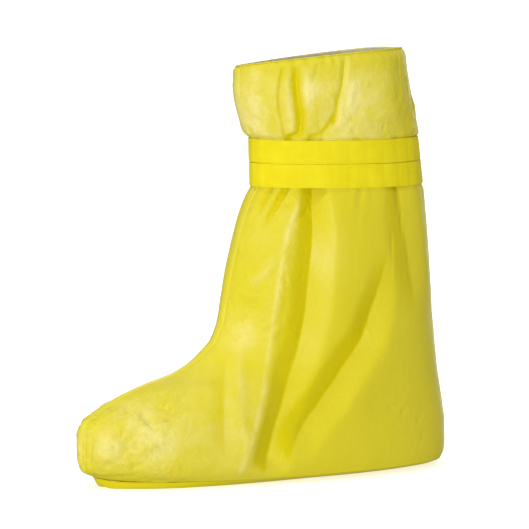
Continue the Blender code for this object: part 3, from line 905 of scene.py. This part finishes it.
# %% Colours, nodes and materials
def linear(hex_colour):
    """An sRGB hex colour as linear red, green, blue and alpha."""
    parts = [int(hex_colour[i : i + 2], 16) / 255 for i in (1, 3, 5)]
    return (*(c / 12.92 if c <= 0.04045 else ((c + 0.055) / 1.055) ** 2.4 for c in parts), 1.0)


def per_metre(millimetres):
    """The scale of a noise on coordinates in metres whose features are this many millimetres apart."""
    return 1000.0 / millimetres


def add_node(tree, kind, settings=None, inputs=None):
    """A node with its settings; each input is a value or another node's output."""
    made = tree.nodes.new(kind)
    for key, value in (settings or {}).items():
        setattr(made, key, value)
    for key, value in (inputs or {}).items():
        if isinstance(value, bpy.types.NodeSocket):
            tree.links.new(value, made.inputs[key])
        else:
            made.inputs[key].default_value = value
    return made


def new_material(finish):
    """A material named for its finish, whose function lays out the nodes."""
    material = bpy.data.materials.new(finish.__name__)
    material.use_nodes = True
    tree = material.node_tree
    tree.nodes.clear()
    shader = finish(tree)
    add_node(tree, "ShaderNodeOutputMaterial", inputs={"Surface": shader.outputs["BSDF"]})
    print("finish", material.name, "made of", len(tree.nodes), "nodes")
    return material


# %% [markdown]
# ## Film-coated nonwoven
#
# The fabric is a polypropylene nonwoven with a yellow film on its outside. The film is smooth, so it has a
# wide satin gleam that turns the lit side pale, while the folds keep a deep, clean yellow. Part of that pale
# gleam is a painted highlight in the colour, and the deep yellow in the folds is painted shade. Handling
# leaves fine crinkles, drawn here as small facets and noise in the bump, and a faint cloudiness in colour
# and gloss.

# %% The yellow film
# the plain yellow, a deeper yellow for painted shade and a paler one for painted highlights
FILM_YELLOW = "#E8D92A"
FILM_PAINTED_SHADE = "#E7D600"
FILM_PAINTED_HIGHLIGHT = "#FCEE8C"
CLOUD_MM = 18.0
FACET_MM = 11.0
FACET_BEND_MM = 16.5
FACET_SHIFT = (0.012, 0.012, 0.012)
CRINKLE_MM = 5.0
STREAK_MM = 2.5
STREAK_STRETCH = (1.0, 1.0, 0.12)
EMBOSS_MM = 1.6


def film_coated_nonwoven(tree):
    """Yellow with painted highlights in patches and painted shade in the folds; crinkles at four sizes."""
    place = add_node(tree, "ShaderNodeTexCoord").outputs["Object"]
    fold, highlight_share, loose = [
        add_node(tree, "ShaderNodeAttribute", {"attribute_name": name}).outputs["Fac"]
        for name in ("painted_shade_share", "painted_highlight", "loose_film")]
    cloud = add_node(tree, "ShaderNodeTexNoise", inputs={
        "Vector": place, "Scale": per_metre(CLOUD_MM), "Detail": 4.0, "Roughness": 0.6})
    patchy = add_node(tree, "ShaderNodeMapRange", inputs={
        "Value": cloud.outputs["Fac"], "From Min": 0.3, "From Max": 0.7, "To Min": 0.2, "To Max": 1.5})
    # painted highlight, patchy with the cloud noise
    painted_sheen = add_node(tree, "ShaderNodeMath", {"operation": "MULTIPLY", "use_clamp": True}, {
        0: highlight_share, 1: patchy.outputs["Result"]})
    # painted shade in the folds and over the sole
    deep = add_node(tree, "ShaderNodeMix", {"data_type": "RGBA"}, {
        "Factor": fold, "A": linear(FILM_YELLOW), "B": linear(FILM_PAINTED_SHADE)})
    colour = add_node(tree, "ShaderNodeMix", {"data_type": "RGBA"}, {
        "Factor": painted_sheen.outputs["Value"], "A": deep.outputs["Result"], "B": linear(FILM_PAINTED_HIGHLIGHT)})
    gloss = add_node(tree, "ShaderNodeMapRange", inputs={
        "Value": cloud.outputs["Fac"], "From Min": 0.3, "From Max": 0.7, "To Min": 0.46, "To Max": 0.34})
    bent = add_node(tree, "ShaderNodeTexNoise", inputs={
        "Vector": place, "Scale": per_metre(FACET_BEND_MM), "Detail": 2.0})
    pushed = add_node(tree, "ShaderNodeVectorMath", {"operation": "MULTIPLY_ADD"}, {
        0: bent.outputs["Color"], 1: FACET_SHIFT, 2: place})
    facets = add_node(tree, "ShaderNodeTexVoronoi", {"feature": "SMOOTH_F1"}, {
        "Vector": pushed.outputs["Vector"], "Scale": per_metre(FACET_MM), "Smoothness": 0.15})
    crinkle = add_node(tree, "ShaderNodeTexNoise", inputs={
        "Vector": pushed.outputs["Vector"], "Scale": per_metre(CRINKLE_MM), "Detail": 3.0, "Roughness": 0.6})
    upright = add_node(tree, "ShaderNodeMapping", inputs={"Vector": place, "Scale": STREAK_STRETCH})
    streaks = add_node(tree, "ShaderNodeTexNoise", inputs={
        "Vector": upright.outputs["Vector"], "Scale": per_metre(STREAK_MM), "Detail": 2.0})
    emboss = add_node(tree, "ShaderNodeTexVoronoi", inputs={"Vector": place, "Scale": per_metre(EMBOSS_MM)})
    broad, small = [
        add_node(tree, "ShaderNodeMath", {"operation": "MULTIPLY"}, {0: height, 1: loose}).outputs["Value"]
        for height in (facets.outputs["Distance"], crinkle.outputs["Fac"])]
    bump = {}
    for height, strength, distance in (
        (broad, 0.5, 0.0016), (small, 0.8, 0.0014),
        (streaks.outputs["Fac"], 0.4, 0.0004), (emboss.outputs["Distance"], 0.15, 0.0002),
    ):
        bump.update({"Height": height, "Strength": strength, "Distance": distance})
        bump["Normal"] = add_node(tree, "ShaderNodeBump", inputs=bump).outputs["Normal"]
    return add_node(tree, "ShaderNodeBsdfPrincipled", inputs={
        "Base Color": colour.outputs["Result"], "Roughness": gloss.outputs["Result"], "IOR": 1.5,
        "Specular IOR Level": 0.2, "Normal": bump["Normal"]})


film = new_material(film_coated_nonwoven)

# %% [markdown]
# ## The white inside
#
# From inside, the fabric shows its uncoated face: a soft, matt mat of fine white fibres with a grid of
# bonding points. A little of the yellow film shines through it, so the white is warm.

# %% Spunbond lining
LINING_WHITE = "#EDE9CF"
LINING_SHADE = "#DDD6AC"
BOND_MM = 2.2
# single fibres are far too fine to show, so the noise is as wide as a tuft of them
TUFT_MM = 4.2


def spunbond_lining(tree):
    """Warm white fibres with bonding points, matt."""
    place = add_node(tree, "ShaderNodeTexCoord").outputs["Object"]
    bonds = add_node(tree, "ShaderNodeTexVoronoi", inputs={
        "Vector": place, "Scale": per_metre(BOND_MM), "Randomness": 0.3})
    fibres = add_node(tree, "ShaderNodeTexNoise", inputs={
        "Vector": place, "Scale": per_metre(TUFT_MM), "Detail": 5.0, "Roughness": 0.7})
    colour = add_node(tree, "ShaderNodeMix", {"data_type": "RGBA"}, {
        "Factor": fibres.outputs["Fac"], "A": linear(LINING_WHITE), "B": linear(LINING_SHADE)})
    height = add_node(tree, "ShaderNodeMath", {"operation": "MULTIPLY"}, {
        0: bonds.outputs["Distance"], 1: fibres.outputs["Fac"]})
    bump = add_node(tree, "ShaderNodeBump", inputs={
        "Height": height.outputs["Value"], "Strength": 0.4, "Distance": 0.0004})
    return add_node(tree, "ShaderNodeBsdfPrincipled", inputs={
        "Base Color": colour.outputs["Result"], "Roughness": 0.85, "IOR": 1.49,
        "Normal": bump.outputs["Normal"]})


lining = new_material(spunbond_lining)

# %% [markdown]
# ## Seam tape, tie and elastic
#
# The tape is a bare film, as satin as the fabric's own and a little lighter. The tie is a strip of
# plain-woven ribbon: it has no film, so it stays flat and strong in colour with no pale gleam, and its
# threads run along and across it. The elastic is a knitted band with ribs along its length, and a grey
# twisted thread holds it. Pictures of cloth could show such weaves, but waves and noise at a known size need
# none.

# %% Film tape
TAPE_YELLOW = "#F1E33C"
TAPE_DEEP = "#EDDE2C"
TAPE_RIPPLE_MM = 6.0


def seam_film_tape(tree):
    """Rippled yellow film, with the same painted highlight as the fabric beside it."""
    place = add_node(tree, "ShaderNodeTexCoord").outputs["Object"]
    ripple = add_node(tree, "ShaderNodeTexNoise", inputs={
        "Vector": place, "Scale": per_metre(TAPE_RIPPLE_MM), "Detail": 2.0}).outputs["Fac"]
    highlight_share = add_node(tree, "ShaderNodeAttribute", {"attribute_name": "painted_highlight"})
    plain = add_node(tree, "ShaderNodeMix", {"data_type": "RGBA"}, {
        "Factor": ripple, "A": linear(TAPE_YELLOW), "B": linear(TAPE_DEEP)})
    colour = add_node(tree, "ShaderNodeMix", {"data_type": "RGBA"}, {
        "Factor": highlight_share.outputs["Fac"], "A": plain.outputs["Result"], "B": linear(FILM_PAINTED_HIGHLIGHT)})
    bump = add_node(tree, "ShaderNodeBump", inputs={"Height": ripple, "Strength": 0.25, "Distance": 0.0005})
    gloss = add_node(tree, "ShaderNodeMapRange", inputs={"Value": ripple, "To Min": 0.38, "To Max": 0.46})
    return add_node(tree, "ShaderNodeBsdfPrincipled", inputs={
        "Base Color": colour.outputs["Result"], "Roughness": gloss.outputs["Result"], "IOR": 1.5,
        "Specular IOR Level": 0.22, "Normal": bump.outputs["Normal"]})


tape_film = new_material(seam_film_tape)

# %% Woven tie ribbon
TIE_YELLOW = "#FDED20"
TIE_DEEP = "#EFDC00"
TIE_CLOUD_MM = 14.0
# a Wave Texture of scale 1 draws this many bands along one unit
BANDS_PER_UNIT = 20 / (2 * math.pi)
# real threads are about 0.4 mm apart, too fine to show, so they are drawn as much wider ripples
THREAD_MM = 5.655


def woven_tie_ribbon(tree):
    """Strong yellow, matt, with threads along and across the strip."""
    cloth = add_node(tree, "ShaderNodeUVMap", {"uv_map": "along_the_cloth"})
    along, across = [
        add_node(tree, "ShaderNodeTexWave", {"bands_direction": way, "wave_profile": "SIN"}, {
            "Vector": cloth.outputs["UV"], "Scale": per_metre(THREAD_MM) / BANDS_PER_UNIT, "Distortion": 0.3})
        for way in ("X", "Y")]
    weave = add_node(tree, "ShaderNodeMath", {"operation": "MULTIPLY"}, {
        0: along.outputs["Fac"], 1: across.outputs["Fac"]})
    place = add_node(tree, "ShaderNodeTexCoord")
    cloud = add_node(tree, "ShaderNodeTexNoise", inputs={
        "Vector": place.outputs["Object"], "Scale": per_metre(TIE_CLOUD_MM), "Detail": 3.0})
    colour = add_node(tree, "ShaderNodeMix", {"data_type": "RGBA"}, {
        "Factor": cloud.outputs["Fac"], "A": linear(TIE_YELLOW), "B": linear(TIE_DEEP)})
    bump = add_node(tree, "ShaderNodeBump", inputs={
        "Height": weave.outputs["Value"], "Strength": 0.18, "Distance": 0.0003})
    return add_node(tree, "ShaderNodeBsdfPrincipled", inputs={
        "Base Color": colour.outputs["Result"], "Roughness": 0.75, "IOR": 1.45, "Specular IOR Level": 0.25,
        "Normal": bump.outputs["Normal"]})


ribbon = new_material(woven_tie_ribbon)

# %% Ribbed elastic
ELASTIC_PALE = "#E6E0CB"
# the darker colour lies where the ribs' bump is lowest: painted shade in the grooves
ELASTIC_PAINTED_SHADE = "#CFC8AE"
# the knit's own ribs are finer than the render shows, so a few broad ones stand for them
RIB_MM = 9.425


def ribbed_elastic(tree):
    """Pale knit with ribs along the band, matt, with painted shade in the grooves between ribs."""
    cloth = add_node(tree, "ShaderNodeUVMap", {"uv_map": "along_the_cloth"})
    ribs = add_node(tree, "ShaderNodeTexWave", {"bands_direction": "X", "wave_profile": "SIN"}, {
        "Vector": cloth.outputs["UV"], "Scale": per_metre(RIB_MM) / BANDS_PER_UNIT, "Distortion": 0.4})
    colour = add_node(tree, "ShaderNodeMix", {"data_type": "RGBA"}, {
        "Factor": ribs.outputs["Fac"], "A": linear(ELASTIC_PAINTED_SHADE), "B": linear(ELASTIC_PALE)})
    bump = add_node(tree, "ShaderNodeBump", inputs={
        "Height": ribs.outputs["Fac"], "Strength": 0.5, "Distance": 0.0004})
    return add_node(tree, "ShaderNodeBsdfPrincipled", inputs={
        "Base Color": colour.outputs["Result"], "Roughness": 0.85, "IOR": 1.5,
        "Normal": bump.outputs["Normal"]})


elastic_knit = new_material(ribbed_elastic)

# %% Twisted thread
THREAD_GREY = "#9A978C"
# painted shade between the twists
THREAD_PAINTED_SHADE = "#6F6C63"
TWIST_MM = 0.8


def twisted_thread(tree):
    """Grey thread, with darker noise at the size of its twists as painted shade between them."""
    place = add_node(tree, "ShaderNodeTexCoord")
    twist = add_node(tree, "ShaderNodeTexNoise", inputs={
        "Vector": place.outputs["Object"], "Scale": per_metre(TWIST_MM), "Detail": 1.0})
    colour = add_node(tree, "ShaderNodeMix", {"data_type": "RGBA"}, {
        "Factor": twist.outputs["Fac"], "A": linear(THREAD_GREY), "B": linear(THREAD_PAINTED_SHADE)})
    return add_node(tree, "ShaderNodeBsdfPrincipled", inputs={
        "Base Color": colour.outputs["Result"], "Roughness": 0.7, "IOR": 1.5})


thread = new_material(twisted_thread)

# %% [markdown]
# ## Stitches by Geometry Nodes
#
# Two rows of stitches hold the elastic. Stitches repeat along a line at a fixed spacing, which is just what
# Geometry Nodes do well: the line is resampled by length, a small bead is set on every point and turned along
# the line, and the instances are made real so that they are plain faces in the end.

# %% The stitch tree, with named inputs for its sizes
STITCH_SIZES = {"Spacing": 4.6, "Stitch length": 3.2, "Thread thickness": 0.55}
BEAD_SEGMENTS = 8
BEAD_RINGS = 5


def stitch_tree():
    """A node group that lays stitches along an edge line, and the identifiers of its inputs."""
    tree = bpy.data.node_groups.new("stitches_along_a_line", "GeometryNodeTree")
    sockets = {"Geometry": "NodeSocketGeometry", **dict.fromkeys(STITCH_SIZES, "NodeSocketFloat"),
               "Thread": "NodeSocketMaterial"}
    names = {}
    for name, kind in sockets.items():
        names[name] = tree.interface.new_socket(name, in_out="INPUT", socket_type=kind).identifier
    tree.interface.new_socket("Geometry", in_out="OUTPUT", socket_type="NodeSocketGeometry")
    given = add_node(tree, "NodeGroupInput").outputs
    curve = add_node(tree, "GeometryNodeMeshToCurve", inputs={"Mesh": given["Geometry"]})
    even = add_node(tree, "GeometryNodeResampleCurve", {"mode": "LENGTH"}, {
        "Curve": curve.outputs["Curve"], "Length": given["Spacing"]})
    tangent = add_node(tree, "GeometryNodeInputTangent")
    turn = add_node(tree, "FunctionNodeAlignRotationToVector", {"axis": "X"}, {
        "Vector": tangent.outputs["Tangent"]})
    size = add_node(tree, "ShaderNodeCombineXYZ", inputs={
        "X": given["Stitch length"], "Y": given["Thread thickness"], "Z": given["Thread thickness"]})
    bead = add_node(tree, "GeometryNodeMeshUVSphere", inputs={
        "Segments": BEAD_SEGMENTS, "Rings": BEAD_RINGS, "Radius": 0.5})
    laid = add_node(tree, "GeometryNodeInstanceOnPoints", inputs={
        "Points": even.outputs["Curve"], "Instance": bead.outputs["Mesh"],
        "Rotation": turn.outputs["Rotation"], "Scale": size.outputs["Vector"]})
    real = add_node(tree, "GeometryNodeRealizeInstances", inputs={"Geometry": laid.outputs["Instances"]})
    coloured = add_node(tree, "GeometryNodeSetMaterial", inputs={
        "Geometry": real.outputs["Geometry"], "Material": given["Thread"]})
    add_node(tree, "NodeGroupOutput", inputs={"Geometry": coloured.outputs["Geometry"]})
    return tree, names


print("sizes of a stitch in millimetres:", STITCH_SIZES)

# %% Two rows of stitches on the elastic
STITCH_ROWS = (18.45, 18.83)
GUIDE_STEPS = 400


def stitch_guide():
    """Two closed lines of edges just over the elastic's inner face."""
    angles = np.linspace(0, 2 * math.pi, GUIDE_STEPS, endpoint=False)
    depth = -ELASTIC_GAP - 1.05 * ELASTIC_THICKNESS - 0.3 * STITCH_SIZES["Thread thickness"]
    lines = [on_shell(np.full_like(angles, place), angles, depth, fine=False) for place in STITCH_ROWS]
    points = np.concatenate(lines) * TO_METRES
    number = np.arange(len(points)).reshape(len(lines), GUIDE_STEPS)
    edges = np.stack([number, np.roll(number, -1, axis=1)], axis=-1).reshape(-1, 2)
    mesh = bpy.data.meshes.new("stitch_guide")
    mesh.from_pydata(points.tolist(), edges.tolist(), [])
    return link_object("stitch_guide", mesh)


def make_stitches():
    """The guide with the stitch tree on it, turned into a plain mesh."""
    guide = stitch_guide()
    tree, names = stitch_tree()
    modifier = guide.modifiers.new("stitches", "NODES")
    modifier.node_group = tree
    for name, millimetres in STITCH_SIZES.items():
        modifier[names[name]] = millimetres * TO_METRES
    modifier[names["Thread"]] = thread
    guide.update_tag()
    made = bpy.data.meshes.new_from_object(guide.evaluated_get(bpy.context.evaluated_depsgraph_get()))
    bpy.data.objects.remove(guide)
    made.shade_smooth()
    return link_object("elastic_stitches", made)


stitches = make_stitches()
faces = len(stitches.data.polygons)
print("stitches:", faces // (BEAD_SEGMENTS * BEAD_RINGS), "with", faces, "faces")

# %% [markdown]
# ## Finishes on, pieces tied to the frame
#
# Each piece gets its material, says which solid it stands for and rides on the model's one body. The areas
# of the fabric pieces' faces are printed.

# %% Materials and the frame
for piece, node, slot, materials in (
    (left_panel, "upper", "coated_fabric", (film, lining)),
    (right_panel, "upper", "coated_fabric", (film, lining)),
    (sole, "sole", "coated_fabric", (film,)),
    (front_tape, "front_seam_tape", "seam_tape", (tape_film,)),
    (back_tape, "back_seam_tape", "seam_tape", (tape_film,)),
    (sole_tape, "sole_seam_tape", "seam_tape", (tape_film,)),
    (tie, "tie_wrap", "tie_fabric", (ribbon,)),
    (elastic, "collar_elastic", "collar_elastic", (elastic_knit,)),
):
    for material in materials:
        piece.data.materials.append(material)
    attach(piece, "root")
    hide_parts(node)
    print(piece.name, "stands for", node)
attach(stitches, "root")

# %% Face areas of the fabric pieces
areas = {p.name: sum(f.area for f in p.data.polygons) for p in (left_panel, right_panel, sole, tie)}
print("faces' areas in square metres:", {name: round(area, 4) for name, area in areas.items()})

# %% [markdown]
# ## Floor, light and camera
#
# The shoe stands on a plain white floor in soft studio light. Area lamps close by would light the near end
# more than the far one, so each softbox is a sun with a wide angle, whose light is the same everywhere: a key
# beside the camera, dimmer ones from the left, the right and above, one behind for the sides that the camera
# doesn't see, and one from below for what a white floor throws back. The floor itself would block that one,
# so it is hidden from shadow and bounce rays and glows a little to stay white. The camera looks from the
# shoe's left, turned a little towards the toe, from just above the collar.

# %% A pale floor
FLOOR_SIZE = 60.0
FLOOR_WHITE = "#FAFAF8"
FLOOR_SHADE = "#F6F6F4"
FLOOR_PATCH_MM = 300.0
FLOOR_GLOW = 0.60


def painted_studio_floor(tree):
    """Matt white paint, very faintly uneven."""
    place = add_node(tree, "ShaderNodeTexCoord")
    patches = add_node(tree, "ShaderNodeTexNoise", inputs={
        "Vector": place.outputs["Object"], "Scale": per_metre(FLOOR_PATCH_MM), "Detail": 2.0})
    colour = add_node(tree, "ShaderNodeMix", {"data_type": "RGBA"}, {
        "Factor": patches.outputs["Fac"], "A": linear(FLOOR_WHITE), "B": linear(FLOOR_SHADE)})
    return add_node(tree, "ShaderNodeBsdfPrincipled", inputs={
        "Base Color": colour.outputs["Result"], "Roughness": 0.9, "Specular IOR Level": 0.1,
        "Emission Color": linear(FLOOR_WHITE), "Emission Strength": FLOOR_GLOW})


half = FLOOR_SIZE / 2
floor_mesh = bpy.data.meshes.new("floor")
floor_corners = [(-half, -half, 0), (half, -half, 0), (half, half, 0), (-half, half, 0)]
floor_mesh.from_pydata(floor_corners, [], [(0, 1, 2, 3)])
floor_mesh.materials.append(new_material(painted_studio_floor))
floor = link_object("floor", floor_mesh)
floor.visible_diffuse = False
floor.visible_glossy = False
floor.visible_shadow = False

# %% Soft light
PHOTO_YAW = math.radians(27.0)
TO_CAMERA = Vector((math.sin(PHOTO_YAW), math.cos(PHOTO_YAW), 0.0))
TO_LEFT = Vector((math.cos(PHOTO_YAW), -math.sin(PHOTO_YAW), 0.0))
# how far towards the camera, to its left and up each one stands, its strength and its width in degrees
SOFTBOXES = {
    "key_softbox": (1.0, 0.28, 0.12, 1.29, 25.0),
    "left_softbox": (0.25, 1.0, 0.15, 0.42, 60.0),
    "right_softbox": (0.1, -1.0, 0.15, 0.25, 60.0),
    "back_softbox": (-1.0, -0.3, 0.3, 1.0, 60.0),
    "top_softbox": (0.0, 0.30, 1.0, 1.08, 60.0),
    "floor_bounce": (1.0, 0.0, -0.5, 0.68, 30.0),
}
WORLD_STRENGTH = 0.30

for name, (from_camera, from_left, from_above, strength, spread) in SOFTBOXES.items():
    light = bpy.data.lights.new(name, "SUN")
    light.energy = strength
    light.angle = math.radians(spread)
    towards = TO_CAMERA * from_camera + TO_LEFT * from_left + Vector((0.0, 0.0, from_above))
    link_object(name, light).rotation_euler = towards.to_track_quat("Z", "Y").to_euler()

world = bpy.data.worlds.new("pale_studio")
world.use_nodes = True
world.node_tree.nodes["Background"].inputs["Color"].default_value = linear("#FFFFFF")
world.node_tree.nodes["Background"].inputs["Strength"].default_value = WORLD_STRENGTH
bpy.context.scene.world = world
bpy.context.scene.view_settings.view_transform = "Standard"
print("softboxes:", len(SOFTBOXES))

# %% Camera at the shoe's left, turned towards the toe
CAMERA_DISTANCE = 3.0
CAMERA_HEIGHT = 0.475
FRAME_SIDE = 0.455
SENSOR = 36.0
AIM_HEIGHT = 0.182

camera_data = bpy.data.cameras.new("photo_view")
camera = link_object("photo_view", camera_data)
corners = [v.co for panel in (left_panel, right_panel) for v in panel.data.vertices]
sideways = [-co.dot(TO_LEFT) for co in corners]
aim = Vector((0.0, 0.0, AIM_HEIGHT)) - TO_LEFT * (max(sideways) + min(sideways)) / 2
camera.location = aim + TO_CAMERA * CAMERA_DISTANCE
camera.location.z = CAMERA_HEIGHT
view_line = aim - camera.location
camera.rotation_euler = view_line.to_track_quat("-Z", "Y").to_euler()
camera_data.sensor_width = SENSOR
camera_data.lens = SENSOR * view_line.length / FRAME_SIDE
bpy.context.scene.camera = camera
print("lens:", round(camera_data.lens, 1), "mm, aimed at", [round(c, 3) for c in aim])
